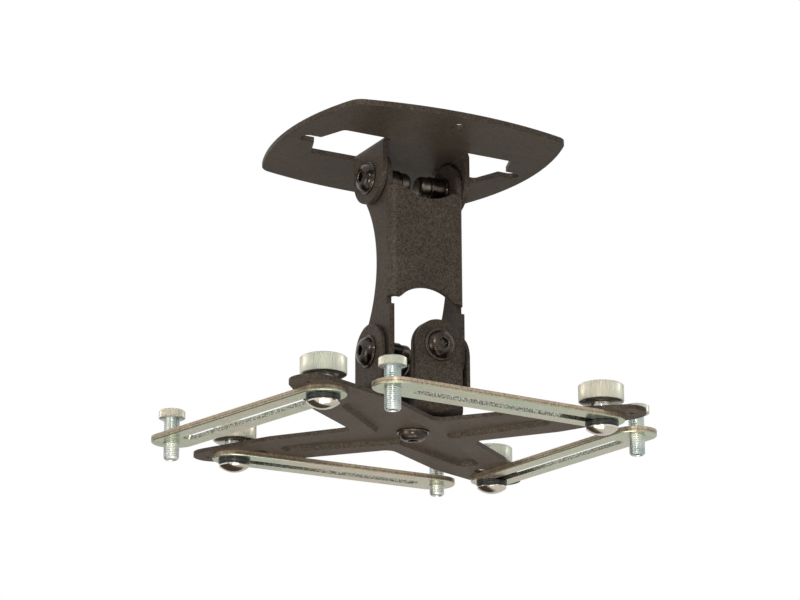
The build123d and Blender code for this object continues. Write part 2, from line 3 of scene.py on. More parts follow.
import bmesh
import bpy
from mathutils import Matrix, Vector


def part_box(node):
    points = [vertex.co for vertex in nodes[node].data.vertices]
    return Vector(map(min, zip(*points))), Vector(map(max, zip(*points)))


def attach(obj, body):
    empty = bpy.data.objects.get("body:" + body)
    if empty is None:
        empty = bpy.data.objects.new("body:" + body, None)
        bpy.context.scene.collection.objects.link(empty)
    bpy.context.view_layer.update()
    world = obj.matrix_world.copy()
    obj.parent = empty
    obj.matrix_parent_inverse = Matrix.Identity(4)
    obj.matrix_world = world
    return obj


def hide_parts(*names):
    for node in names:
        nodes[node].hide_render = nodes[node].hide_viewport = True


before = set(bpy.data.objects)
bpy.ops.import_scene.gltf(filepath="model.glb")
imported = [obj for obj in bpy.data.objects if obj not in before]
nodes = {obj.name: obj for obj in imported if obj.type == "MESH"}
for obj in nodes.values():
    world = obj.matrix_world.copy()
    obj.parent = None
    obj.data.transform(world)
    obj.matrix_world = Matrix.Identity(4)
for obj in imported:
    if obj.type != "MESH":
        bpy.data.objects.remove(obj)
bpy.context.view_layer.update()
print("frame loaded,", len(nodes), "nodes")

mm = 0.001


def newMaterial(name):
    mat = bpy.data.materials.new(name)
    mat.use_nodes = True
    tree = mat.node_tree
    shader = tree.nodes["Principled BSDF"]
    coords = tree.nodes.new("ShaderNodeTexCoord")
    return mat, tree, shader, coords.outputs["Object"]


def noiseOn(tree, vector, scale, detail=3.0, rough=0.55, stretch=None):
    if stretch:
        mapping = tree.nodes.new("ShaderNodeMapping")
        mapping.inputs["Scale"].default_value = stretch
        tree.links.new(vector, mapping.inputs["Vector"])
        vector = mapping.outputs["Vector"]
    noise = tree.nodes.new("ShaderNodeTexNoise")
    noise.inputs["Scale"].default_value = scale
    noise.inputs["Detail"].default_value = detail
    noise.inputs["Roughness"].default_value = rough
    tree.links.new(vector, noise.inputs["Vector"])
    return noise.outputs["Fac"]


def rampOn(tree, fac, stops):
    ramp = tree.nodes.new("ShaderNodeValToRGB")
    marks = ramp.color_ramp.elements
    while len(marks) < len(stops):
        marks.new(0.5)
    for mark, (place, colour) in zip(marks, stops):
        mark.position = place
        if isinstance(colour, float):
            colour = (colour, colour, colour)
        mark.color = (*colour, 1)
    tree.links.new(fac, ramp.inputs["Fac"])
    return ramp.outputs["Color"]


def mixOn(tree, fac, a, b, kind="MIX"):
    mix = tree.nodes.new("ShaderNodeMix")
    mix.data_type = "RGBA"
    mix.blend_type = kind
    for name, value in (("Factor", fac), ("A", a), ("B", b)):
        socket = mix.inputs[name]
        if isinstance(value, (int, float)):
            socket.default_value = value
        elif isinstance(value, tuple):
            socket.default_value = (*value, 1)
        else:
            tree.links.new(value, socket)
    return mix.outputs["Result"]


def bumpOn(tree, height, strength, distance, normal=None):
    bump = tree.nodes.new("ShaderNodeBump")
    bump.inputs["Strength"].default_value = strength
    bump.inputs["Distance"].default_value = distance
    tree.links.new(height, bump.inputs["Height"])
    if normal is not None:
        tree.links.new(normal, bump.inputs["Normal"])
    return bump.outputs["Normal"]


roughMarks = (0.3, 0.7)


def roughOn(tree, fac, rough, spread):
    # From a little smoother to a little rougher than the finish
    (low, high), (smoother, rougher) = roughMarks, spread
    return rampOn(tree, fac, [(low, rough - smoother), (high, rough + rougher)])


bevelSamples = 6


def softEdges(tree, radius):
    bevel = tree.nodes.new("ShaderNodeBevel")
    bevel.samples = bevelSamples
    bevel.inputs["Radius"].default_value = radius
    return bevel.outputs["Normal"]


def edgeMask(tree, bevelNormal, span):
    # How far the rounded normal leaves the flat one: bright along the edges
    geometry = tree.nodes.new("ShaderNodeNewGeometry")
    dot = tree.nodes.new("ShaderNodeVectorMath")
    dot.operation = "DOT_PRODUCT"
    tree.links.new(bevelNormal, dot.inputs[0])
    tree.links.new(geometry.outputs["Normal"], dot.inputs[1])
    mask = tree.nodes.new("ShaderNodeMapRange")
    mask.inputs["From Max"].default_value, mask.inputs["From Min"].default_value = span
    tree.links.new(dot.outputs["Value"], mask.inputs["Value"])
    return mask.outputs["Result"]


def mathsOn(tree, kind, *values):
    maths = tree.nodes.new("ShaderNodeMath")
    maths.operation = kind
    for socket, value in zip(maths.inputs, values):
        if isinstance(value, (int, float)):
            socket.default_value = value
        else:
            tree.links.new(value, socket)
    return maths.outputs["Value"]


def multiply(tree, a, b):
    return mathsOn(tree, "MULTIPLY", a, b)


# Powder coat of the sheet parts: dark brown grey, sandy, a little worn at the edges
powderCoat = {
    "deep": (0.030, 0.0240, 0.0185),
    "raised": (0.126, 0.103, 0.082),
    "worn": (0.17, 0.135, 0.105),
    "fineGrain": 1350.0,
    "coarseGrain": 480.0,
    "coarseShare": 0.22,
    "cloud": 45.0,
    "edge": 0.5 * mm,
    "edgeSpan": (0.93, 0.998),
    "chips": 320.0,
    "wear": 0.2,
    "rough": 0.42,
    "roughSpread": (0.06, 0.12),
    "shine": 0.05,
    "metal": 0.10,
    "pebbles": 1150.0,
    "relief": 0.42,
    "reliefDepth": 0.14 * mm,
}


def makePowderCoat():
    mat, tree, shader, where = newMaterial("powderCoat")
    coat = powderCoat
    fine = noiseOn(tree, where, coat["fineGrain"], detail=2.0, rough=0.7)
    coarse = noiseOn(tree, where, coat["coarseGrain"], detail=2.0, rough=0.6)
    grain = mixOn(tree, coat["coarseShare"], fine, coarse)
    cloud = noiseOn(tree, where, coat["cloud"], detail=4.0)
    speckle = rampOn(tree, grain, [(0.35, coat["deep"]), (0.65, coat["raised"])])
    tone = rampOn(tree, cloud, [(0.3, 0.88), (0.7, 1.1)])
    colour = mixOn(tree, 1.0, speckle, tone, "MULTIPLY")
    rounded = softEdges(tree, coat["edge"])
    edges = edgeMask(tree, rounded, coat["edgeSpan"])
    chips = rampOn(tree, noiseOn(tree, where, coat["chips"]), [(0.42, 0.0), (0.6, 1.0)])
    wear = multiply(tree, multiply(tree, edges, chips), coat["wear"])
    colour = mixOn(tree, wear, colour, coat["worn"])
    tree.links.new(colour, shader.inputs["Base Color"])
    rough = roughOn(tree, grain, coat["rough"], coat["roughSpread"])
    tree.links.new(rough, shader.inputs["Roughness"])
    shader.inputs["Specular IOR Level"].default_value = coat["shine"]
    shader.inputs["Metallic"].default_value = coat["metal"]
    pebbles = noiseOn(tree, where, coat["pebbles"], detail=2.0, rough=0.6)
    normal = bumpOn(tree, pebbles, coat["relief"], coat["reliefDepth"], rounded)
    tree.links.new(normal, shader.inputs["Normal"])
    return mat


# Zinc plate: cloudy passivation, with sheared and torn cut edges where asked
zincFinishes = {
    "strapZinc": {
        "pale": (0.54, 0.56, 0.42),
        "tint": (0.44, 0.54, 0.40),
        "blush": (0.61, 0.53, 0.41),
        "rough": 0.22,
        "patches": 16.0,
        "cutEdges": True,
    },
    "knurlZinc": {
        "pale": (0.56, 0.56, 0.47),
        "tint": (0.50, 0.52, 0.44),
        "blush": (0.60, 0.55, 0.45),
        "rough": 0.38,
        "patches": 38.0,
        "cutEdges": False,
    },
    "turnedZinc": {
        "pale": (0.58, 0.57, 0.51),
        "tint": (0.50, 0.51, 0.48),
        "blush": (0.64, 0.58, 0.49),
        "rough": 0.17,
        "patches": 38.0,
        "cutEdges": False,
    },
    "sleeveZinc": {
        "pale": (0.60, 0.65, 0.65),
        "tint": (0.48, 0.55, 0.56),
        "blush": (0.68, 0.69, 0.62),
        "rough": 0.26,
        "patches": 60.0,
        "cutEdges": False,
    },
}
zincPlate = {
    "metal": 0.85,
    "roughSpread": (0.05, 0.12),
    "veil": 120.0,
    "edge": 0.25 * mm,
    "grain": 900.0,
    "relief": 0.22,
    "reliefDepth": 0.06 * mm,
    "shearRough": 0.42,
}
shearBands = {
    "burnished": (0.44, 0.37, 0.27),
    "lower": (0.34, 0.29, 0.20),
    "line": (0.13, 0.11, 0.08),
    "upper": (0.42, 0.34, 0.24),
    "levels": (0.12, 0.46, 0.56, 0.66, 1.0),
    "faces": (0.30, 0.60),
    "ragged": 0.24,
    "tear": 620.0,
    "grit": 1300.0,
    "gritStretch": (1.0, 1.0, 0.45),
}


def cutEdgesOn(tree, where, strapLow, strapHigh):
    # Sheared steel seen from the side: a burnished land, a dark tear line, a speckled break
    split = tree.nodes.new("ShaderNodeSeparateXYZ")
    tree.links.new(where, split.inputs[0])
    rise = tree.nodes.new("ShaderNodeMapRange")
    rise.inputs["From Min"].default_value = strapLow
    rise.inputs["From Max"].default_value = strapHigh
    tree.links.new(split.outputs["Z"], rise.inputs["Value"])
    torn = noiseOn(tree, where, shearBands["tear"], rough=0.7)
    wander = mathsOn(tree, "MULTIPLY_ADD", torn, shearBands["ragged"], rise.outputs["Result"])
    layers = [shearBands[name] for name in ("lower", "burnished", "line", "upper", "upper")]
    bands = rampOn(tree, wander, list(zip(shearBands["levels"], layers)))
    stretch = shearBands["gritStretch"]
    grit = noiseOn(tree, where, shearBands["grit"], detail=2.0, rough=0.6, stretch=stretch)
    shade = rampOn(tree, grit, [(0.36, 0.62), (0.62, 1.12)])
    return mixOn(tree, 1.0, bands, shade, "MULTIPLY"), grit


def makeZinc(name):
    finish = zincFinishes[name]
    mat, tree, shader, where = newMaterial(name)
    cloud = noiseOn(tree, where, finish["patches"])
    veil = noiseOn(tree, where, zincPlate["veil"])
    tones = [(0.36, finish["tint"]), (0.50, finish["pale"]), (0.64, finish["blush"])]
    colour = rampOn(tree, cloud, tones)
    streak = rampOn(tree, veil, [(0.35, 0.92), (0.65, 1.04)])
    colour = mixOn(tree, 1.0, colour, streak, "MULTIPLY")
    rough = roughOn(tree, veil, finish["rough"], zincPlate["roughSpread"])
    rounded = softEdges(tree, zincPlate["edge"])
    height = noiseOn(tree, where, zincPlate["grain"], detail=2.0)
    if finish["cutEdges"]:
        low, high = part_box("strap_1")
        bands, grit = cutEdgesOn(tree, where, low.z, high.z)
        geometry = tree.nodes.new("ShaderNodeNewGeometry")
        split = tree.nodes.new("ShaderNodeSeparateXYZ")
        tree.links.new(geometry.outputs["True Normal"], split.inputs[0])
        lying = mathsOn(tree, "ABSOLUTE", split.outputs["Z"])
        upright, flat = shearBands["faces"]
        side = rampOn(tree, lying, [(upright, 1.0), (flat, 0.0)])
        colour = mixOn(tree, side, colour, bands)
        rough = mixOn(tree, side, rough, (zincPlate["shearRough"],) * 3)
        height = mixOn(tree, side, height, grit)
    tree.links.new(colour, shader.inputs["Base Color"])
    tree.links.new(rough, shader.inputs["Roughness"])
    shader.inputs["Metallic"].default_value = zincPlate["metal"]
    normal = bumpOn(tree, height, zincPlate["relief"], zincPlate["reliefDepth"], rounded)
    tree.links.new(normal, shader.inputs["Normal"])
    return mat


# Walls of the straps' slots: dark as painted shade, with bright specks where the tool tore the
# steel
shadedSlotWall = {
    "dark": (0.15, 0.155, 0.125),
    "bright": (0.58, 0.60, 0.49),
    "rough": 0.30,
    "specks": 1150.0,
    "relief": 0.3,
    "reliefDepth": 0.08 * mm,
}


def makeShadedSlotWall():
    mat, tree, shader, where = newMaterial("shadedSlotWall")
    specks = noiseOn(tree, where, shadedSlotWall["specks"], detail=2.0, rough=0.7)
    colour = rampOn(tree, specks, [(0.44, shadedSlotWall["dark"]), (0.60, shadedSlotWall["bright"])])
    tree.links.new(colour, shader.inputs["Base Color"])
    shader.inputs["Roughness"].default_value = shadedSlotWall["rough"]
    shader.inputs["Metallic"].default_value = zincPlate["metal"]
    normal = bumpOn(tree, specks, shadedSlotWall["relief"], shadedSlotWall["reliefDepth"])
    tree.links.new(normal, shader.inputs["Normal"])
    return mat


# Black oxide of the screws and cap nuts: dark, oily, with edges painted brighter as wear and
# painted highlight
blackOxide = {
    "film": (0.022, 0.017, 0.014),
    "thin": (0.085, 0.067, 0.053),
    "wornEdgeAndSheen": (0.34, 0.29, 0.23),
    "rough": 0.20,
    "roughSpread": (0.05, 0.13),
    "cloud": 260.0,
    "edge": 0.25 * mm,
    "edgeSpan": (0.92, 0.999),
    "wornEdgeAndSheenShare": 0.6,
    "metal": 0.8,
    "relief": 0.16,
    "reliefDepth": 0.05 * mm,
}


def makeBlackOxide():
    mat, tree, shader, where = newMaterial("blackOxide")
    oxide = blackOxide
    cloud = noiseOn(tree, where, oxide["cloud"])
    colour = rampOn(tree, cloud, [(0.35, oxide["film"]), (0.75, oxide["thin"])])
    rounded = softEdges(tree, oxide["edge"])
    edges = edgeMask(tree, rounded, oxide["edgeSpan"])
    # Edges painted brighter: partly wear, partly painted highlight
    colour = mixOn(tree, multiply(tree, edges, oxide["wornEdgeAndSheenShare"]), colour, oxide["wornEdgeAndSheen"])
    tree.links.new(colour, shader.inputs["Base Color"])
    rough = roughOn(tree, cloud, oxide["rough"], oxide["roughSpread"])
    tree.links.new(rough, shader.inputs["Roughness"])
    shader.inputs["Metallic"].default_value = oxide["metal"]
    normal = bumpOn(tree, cloud, oxide["relief"], oxide["reliefDepth"], rounded)
    tree.links.new(normal, shader.inputs["Normal"])
    return mat


# Polished metal: the domes of the clamp bolts, and the tips of the cap nuts
polishes = {
    "polishedDome": {"face": (0.70, 0.67, 0.58), "haze": (0.56, 0.52, 0.44), "rough": 0.08},
    "brightTip": {"face": (0.17, 0.15, 0.125), "haze": (0.07, 0.058, 0.05), "rough": 0.30},
}
polishMarks = {
    "haze": 150.0,
    "hazeRough": 0.12,
    "scratch": 1300.0,
    "relief": 0.06,
    "reliefDepth": 0.03 * mm,
}


def makePolished(name):
    polish = polishes[name]
    mat, tree, shader, where = newMaterial(name)
    haze = noiseOn(tree, where, polishMarks["haze"], detail=4.0)
    colour = rampOn(tree, haze, [(0.4, polish["face"]), (0.75, polish["haze"])])
    tree.links.new(colour, shader.inputs["Base Color"])
    dull = polish["rough"] + polishMarks["hazeRough"]
    rough = rampOn(tree, haze, [(0.35, polish["rough"]), (0.75, dull)])
    tree.links.new(rough, shader.inputs["Roughness"])
    shader.inputs["Metallic"].default_value = 1.0
    scratch = noiseOn(tree, where, polishMarks["scratch"], detail=2.0)
    normal = bumpOn(tree, scratch, polishMarks["relief"], polishMarks["reliefDepth"])
    tree.links.new(normal, shader.inputs["Normal"])
    return mat


# Washers: matt friction discs and the glossier stepped clamp washer
washerBlacks = {
    "frictionBlack": {"low": (0.010, 0.009, 0.009), "high": (0.026, 0.023, 0.021), "rough": 0.62},
    "clampBlack": {"low": (0.008, 0.008, 0.010), "high": (0.024, 0.024, 0.028), "rough": 0.34},
}
washerFace = {
    "roughSpread": (0.08, 0.1),
    "cloud": 420.0,
    "edge": 0.3 * mm,
    "relief": 0.15,
    "reliefDepth": 0.06 * mm,
}


def makeWasherBlack(name):
    finish = washerBlacks[name]
    mat, tree, shader, where = newMaterial(name)
    cloud = noiseOn(tree, where, washerFace["cloud"])
    colour = rampOn(tree, cloud, [(0.35, finish["low"]), (0.7, finish["high"])])
    tree.links.new(colour, shader.inputs["Base Color"])
    rough = roughOn(tree, cloud, finish["rough"], washerFace["roughSpread"])
    tree.links.new(rough, shader.inputs["Roughness"])
    rounded = softEdges(tree, washerFace["edge"])
    normal = bumpOn(tree, cloud, washerFace["relief"], washerFace["reliefDepth"], rounded)
    tree.links.new(normal, shader.inputs["Normal"])
    return mat


finishes = {
    "powder": makePowderCoat(),
    "strap": makeZinc("strapZinc"),
    "shadedSlotWall": makeShadedSlotWall(),
    "knurl": makeZinc("knurlZinc"),
    "thumb": makeZinc("turnedZinc"),
    "sleeve": makeZinc("sleeveZinc"),
    "oxide": makeBlackOxide(),
    "dome": makePolished("polishedDome"),
    "tip": makePolished("brightTip"),
    "friction": makeWasherBlack("frictionBlack"),
    "clamp": makeWasherBlack("clampBlack"),
}
print("finishes made:", ", ".join(finishes))


def dress(nodeName, finish):
    data = nodes[nodeName].data
    data.materials.clear()
    data.materials.append(finishes[finish])


for name in ("ceiling_plate", "column", "tilt_bracket", "roll_bracket", "spider"):
    dress(name, "powder")
for name in nodes:
    if name.startswith("strap"):
        dress(name, "strap")
    elif "washer" in name:
        dress(name, "clamp" if name.startswith("clamp") else "friction")
    elif name.startswith("clamp_bolt"):
        dress(name, "dome")
    elif name.startswith("thumb_nut"):
        dress(name, "knurl")
    elif name.startswith("sleeve"):
        dress(name, "sleeve")
    elif "screw" in name or "nut" in name:
        dress(name, "oxide")


def middleOf(nodeName):
    low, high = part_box(nodeName)
    return (low + high) / 2


slotSearch = {"aside": 8 * mm, "endGap": 6 * mm, "steepest": 0.5}


def dressSlotWalls(number):
    # Upright faces near the line from clamp bolt to sleeve, clear of both ends, are the slot's
    node = nodes[f"strap_{number}"]
    start, end = middleOf(f"clamp_bolt_{number}"), middleOf(f"sleeve_{number}")
    along = (end - start).to_2d().normalized()
    # The slot walls get the finish whose dark colour paints their shade
    node.data.materials.append(finishes["shadedSlotWall"])
    offsets = [(node.matrix_world @ face.center - start).to_2d() for face in node.data.polygons]
    reaches = [along.dot(offset) for offset in offsets]
    first, last = min(reaches) + slotSearch["endGap"], max(reaches) - slotSearch["endGap"]
    for face, offset, reach in zip(node.data.polygons, offsets, reaches):
        aside = abs(along.x * offset.y - along.y * offset.x)
        upright = abs(face.normal.z) < slotSearch["steepest"]
        if upright and aside < slotSearch["aside"] and first < reach < last:
            face.material_index = 1


for number in range(1, 5):
    dressSlotWalls(number)
print("CAD nodes dressed")


# A turned piece is a stack of rings: height and radius in millimetres, outline, finish above it
knurlCut = {"depth": 0.42, "stepsPerTooth": 4, "slope": 0.6}
threadCut = {"pitch": 1.0, "depth": 0.32, "ringsPerTurn": 8}


def ringRadius(outline, radius, height, step, steps):
    if outline == "hex":
        around = (step * 360 / steps) % 60 - 30
        return radius / math.cos(math.radians(around))
    if outline == "knurl":
        valley = step % knurlCut["stepsPerTooth"] >= knurlCut["stepsPerTooth"] // 2
        return radius - knurlCut["depth"] if valley else radius
    if outline == "thread":
        phase = (height / threadCut["pitch"] + step / steps) % 1
        return radius - threadCut["depth"] * abs(2 * phase - 1)
    return radius


def roundRings(finish, places):
    return [(height, radius, "round", finish) for height, radius in places]


def threadRings(low, high, radius, finish):
    count = math.ceil((high - low) / threadCut["pitch"] * threadCut["ringsPerTurn"])
    return [(low + (high - low) * at / count, radius, "thread", finish) for at in range(count + 1)]


def knurledBand(low, high, rim, chamfer, ends):
    # A knurled rim between two chamfers, which take the finish named by ends
    plain = rim - knurlCut["depth"]
    slope = chamfer * knurlCut["slope"]
    return [
        (low, plain - chamfer, "round", ends),
        (low + slope, plain, "round", "knurl"),
        (low + chamfer, rim, "knurl", "knurl"),
        (high - chamfer, rim, "knurl", "knurl"),
        (high - slope, plain, "round", ends),
        (high, plain - chamfer, "round", ends),
    ]


def arcRings(low, lowRadius, high, highRadius, bulge, count, finish):
    # A round shoulder between two rings; bulge is how far it swells beyond the straight line
    places = []
    length = math.hypot(high - low, highRadius - lowRadius)
    outward = ((high - low) / length, -(highRadius - lowRadius) / length)
    for at in range(count + 1):
        share = at / count
        swell = bulge * 4 * share * (1 - share)
        height = low + (high - low) * share + outward[1] * swell
        places.append((height, lowRadius + (highRadius - lowRadius) * share + outward[0] * swell))
    return roundRings(finish, places)


def domeRings(low, high, widest, count, finish):
    # A spherical cap from its pole at low out to the widest ring at high
    sag = high - low
    sphere = (widest * widest + sag * sag) / (2 * sag)
    places = []
    for at in range(1, count + 1):
        radius = widest * math.sin(math.pi / 2 * at / count)
        places.append((low + sphere - math.sqrt(sphere * sphere - radius * radius), radius))
    return roundRings(finish, places)


def standOn(nodeName, pointing):
    # Local zero is the end of the node that its axis points away from
    low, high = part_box(nodeName)
    middle = (low + high) / 2
    axis = "xyz".index(pointing[1])
    origin = middle.copy()
    origin[axis] = low[axis] if pointing[0] == "+" else high[axis]
    direction = Vector((0, 0, 0))
    direction[axis] = 1 if pointing[0] == "+" else -1
    turn = direction.to_track_quat("Z", "Y" if axis != 1 else "X").to_matrix().to_4x4()
    return Matrix.Translation(origin) @ turn, (high[axis] - low[axis]) / mm


def newObject(name, bm):
    data = bpy.data.meshes.new(name)
    bm.to_mesh(data)
    bm.free()
    made = bpy.data.objects.new(name, data)
    bpy.context.collection.objects.link(made)
    return made, data


smoothAngle = 35
weldDistance = 0.001 * mm


def turnedPiece(name, rings, steps, matrix, body, stands):
    bm = bmesh.new()
    rows = []
    for height, radius, outline, finish in rings:
        if radius == 0:
            rows.append([bm.verts.new((0, 0, height * mm))])
            continue
        row = []
        for step in range(steps):
            turn = 2 * math.pi * step / steps
            r = ringRadius(outline, radius, height, step, steps) * mm
            row.append(bm.verts.new((r * math.cos(turn), r * math.sin(turn), height * mm)))
        rows.append(row)
    used = list(dict.fromkeys(ring[3] for ring in rings))
    for lower, upper, ring in zip(rows, rows[1:], rings):
        for step in range(steps):
            after = (step + 1) % steps
            if len(lower) == 1:
                corners = (lower[0], upper[after], upper[step])
            elif len(upper) == 1:
                corners = (lower[step], lower[after], upper[0])
            else:
                corners = (lower[step], lower[after], upper[after], upper[step])
            bm.faces.new(corners).material_index = used.index(ring[3])
    bmesh.ops.remove_doubles(bm, verts=bm.verts, dist=weldDistance)
    bmesh.ops.recalc_face_normals(bm, faces=bm.faces)
    bm.transform(matrix)
    piece, data = newObject(name, bm)
    data.shade_smooth()
    data.set_sharp_from_angle(angle=math.radians(smoothAngle))
    for finish in used:
        data.materials.append(finishes[finish])
    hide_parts(stands)
    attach(piece, body)


# Knurled thumb nut: smooth neck, knurled rim with small chamfers, a dished top and a through bore
thumbNut = {
    "bore": 3.05,
    "boreBreak": 0.4,
    "neck": 5.4,
    "neckHeight": 4.9,
    "neckRound": 0.3,
    "rim": 11.9,
    "chamfer": 0.8,
    "dishOuter": 9.2,
    "dishInner": 5.4,
    "dishWall": 0.4,
    "dish": 0.7,
    "teeth": 80,
}


def makeThumbNut(number):
    node = f"thumb_nut_{number}"
    matrix, tall = standOn(node, "+z")
    n = thumbNut
    foot, dishFloor = n["neckHeight"], tall - n["dish"]
    rings = roundRings("thumb", [
        (0, n["bore"]),
        (0, n["neck"] - n["neckRound"]),
        (n["neckRound"], n["neck"]),
        (foot - n["neckRound"], n["neck"]),
        (foot, n["neck"] + n["neckRound"]),
    ])
    rings += knurledBand(foot, tall, n["rim"], n["chamfer"], "thumb")
    rings += roundRings("thumb", [
        (tall, n["dishOuter"]),
        (dishFloor, n["dishOuter"] - n["dishWall"]),
        (dishFloor, n["dishInner"] + n["dishWall"]),
        (tall, n["dishInner"]),
        (tall, n["bore"] + n["boreBreak"]),
        (tall - n["boreBreak"], n["bore"]),
        (0, n["bore"]),
    ])
    steps = n["teeth"] * knurlCut["stepsPerTooth"]
    turnedPiece(f"knurledThumbNut{number}", rings, steps, matrix, node, node)


# Height sleeve: a threaded tube with a knurled head, countersunk at both ends
heightSleeve = {
    "bore": 2.25,
    "boreBreak": 0.5,
    "thread": 4.3,
    "lead": 0.9,
    "threadEnd": 0.6,
    "neck": 0.5,
    "head": 7.1,
    "headHeight": 4.9,
    "chamfer": 0.6,
    "teeth": 52,
}


def makeSleeve(number):
    node = f"sleeve_{number}"
    matrix, tall = standOn(node, "+z")
    s = heightSleeve
    seat = tall - s["headHeight"]
    threadFoot = s["thread"] - threadCut["depth"]
    mouth = s["bore"] + s["boreBreak"]
    rings = roundRings("sleeve", [
        (s["boreBreak"], s["bore"]),
        (0, mouth),
        (0, s["thread"] - s["lead"]),
    ])
    rings += threadRings(s["lead"], seat - s["threadEnd"], s["thread"], "sleeve")
    rings += roundRings("sleeve", [(seat - s["neck"], threadFoot), (seat, threadFoot)])
    rings += knurledBand(seat, tall, s["head"], s["chamfer"], "knurl")
    rings += roundRings("knurl", [(tall, mouth)])
    rings += roundRings("sleeve", [(tall - s["boreBreak"], s["bore"]), (s["boreBreak"], s["bore"])])
    steps = s["teeth"] * knurlCut["stepsPerTooth"]
    turnedPiece(f"heightSleeve{number}", rings, steps, matrix, node, node)


# Clamp bolt: polished low dome below, threaded shank up through strap, arm and thumb nut
clampBolt = {
    "dome": 8.3,
    "domeHeight": 3.9,
    "domeRings": 14,
    "rim": 0.9,
    "rimRound": 0.2,
    "shank": 3.0,
    "plainTo": 13.0,
    "threadStart": 0.2,
    "point": 0.6,
    "pointBreak": 0.7,
    "steps": 64,
}


def makeClampBolt(number):
    node = f"clamp_bolt_{number}"
    matrix, tall = standOn(node, "+z")
    c = clampBolt
    seat = c["domeHeight"]
    rings = roundRings("dome", [(0, 0)])
    rings += domeRings(0.0, seat - c["rim"], c["dome"], c["domeRings"], "dome")
    rings += roundRings("dome", [
        (seat - c["rimRound"], c["dome"]),
        (seat, c["dome"] - c["rimRound"]),
        (seat, c["shank"]),
        (c["plainTo"], c["shank"]),
    ])
    rings += threadRings(c["plainTo"] + c["threadStart"], tall - c["point"], c["shank"], "thumb")
    rings += roundRings("thumb", [(tall, c["shank"] - c["pointBreak"]), (tall, 0)])
    name = f"clampBolt{number}"
    turnedPiece(name, rings, c["steps"], matrix, f"clamp_{number}", node)


# Stepped clamp washer, small step below
clampWasher = {"bore": 3.1, "step": 7.9, "stepHeight": 0.8, "disc": 8.7, "round": 0.25, "steps": 96}


def makeClampWasher(number):
    node = f"clamp_washer_{number}"
    matrix, tall = standOn(node, "+z")
    w = clampWasher
    rings = roundRings("clamp", [
        (0, w["bore"]),
        (0, w["step"] - w["round"]),
        (w["round"], w["step"]),
        (w["stepHeight"], w["step"]),
        (w["stepHeight"], w["disc"] - w["round"]),
        (w["stepHeight"] + w["round"], w["disc"]),
        (tall - w["round"], w["disc"]),
        (tall, w["disc"] - w["round"]),
        (tall, w["bore"]),
        (0, w["bore"]),
    ])
    name = f"clampWasher{number}"
    turnedPiece(name, rings, w["steps"], matrix, f"clamp_{number}", node)


for number in range(1, 5):
    makeThumbNut(number)
    makeSleeve(number)
    makeClampBolt(number)
    makeClampWasher(number)
print("clamps, thumb nuts and sleeves turned")

# Pivot screw: flanged button head with a hexagon socket
pivotScrew = {
    "shank": 4.0,
    "point": 0.6,
    "threadTo": 9.0,
    "plainFrom": 9.4,
    "flange": 8.9,
    "flangeRound": 0.3,
    "flangeThick": 1.1,
    "dome": 7.8,
    "domeRings": 12,
    "headHeight": 5.2,
    "flat": 3.7,
    "bulge": 1.05,
    "socket": 2.5,
    "socketBreak": 0.4,
    "socketDepth": 2.8,
    "drillTip": 0.7,
    "steps": 72,
}


def makePivotScrew(name, node, pointing, body):
    matrix, tall = standOn(node, pointing)
    p = pivotScrew
    seat = tall - p["headHeight"]
    face = seat + p["flangeThick"]
    rings = roundRings("oxide", [(0, 0), (0, p["shank"] - p["point"])])
    rings += threadRings(p["point"], p["threadTo"], p["shank"], "oxide")
    rings += roundRings("oxide", [
        (p["plainFrom"], p["shank"]),
        (seat, p["shank"]),
        (seat, p["flange"] - p["flangeRound"]),
        (seat + p["flangeRound"], p["flange"]),
        (face - p["flangeRound"], p["flange"]),
        (face, p["flange"] - p["flangeRound"]),
    ])
    rings += arcRings(face, p["dome"], tall, p["flat"], p["bulge"], p["domeRings"], "oxide")
    rings += [
        (tall, p["socket"] + p["socketBreak"], "hex", "oxide"),
        (tall - p["socketBreak"], p["socket"], "hex", "oxide"),
        (tall - p["socketDepth"], p["socket"], "hex", "oxide"),
    ]
    rings += roundRings("oxide", [(tall - p["socketDepth"] - p["drillTip"], 0)])
    turnedPiece(name, rings, p["steps"], matrix, body, node)


# Cap nut: a small flange against the sheet, round body, groove and bright round tip
capNut = {
    "bore": 4.05,
    "boreDepth": 2.0,
    "body": 6.9,
    "flange": 7.3,
    "flangeThick": 1.3,
    "round": 0.4,
    "groove": 0.6,
    "tip": 6.2,
    "tipBreak": 0.2,
    "tipRound": 2.4,
    "tipBulge": 0.7,
    "tipRings": 8,
    "steps": 96,
}


def makeCapNut(name, node, pointing, body, step):
    matrix, tall = standOn(node, pointing)
    c = capNut
    groove = c["tip"] - c["groove"]
    shoulder = step + c["groove"]
    rings = roundRings("oxide", [
        (c["boreDepth"], 0),
        (c["boreDepth"], c["bore"]),
        (0, c["bore"]),
        (0, c["flange"] - c["round"] / 2),
        (c["round"] / 2, c["flange"]),
        (c["flangeThick"], c["flange"]),
        (c["flangeThick"] + c["round"], c["body"]),
        (step - c["round"], c["body"]),
        (step, c["body"] - c["round"]),
        (step, groove),
        (shoulder, groove),
    ])
    rings += roundRings("tip", [
        (shoulder, c["tip"] - c["tipBreak"]),
        (shoulder + c["tipBreak"], c["tip"]),
    ])
    tip, curve = c["tip"], c["tipRound"]
    rings += arcRings(tall - curve, tip, tall, tip - curve, c["tipBulge"], c["tipRings"], "tip")
    rings += roundRings("tip", [(tall, 0)])
    turnedPiece(name, rings, c["steps"], matrix, body, node)


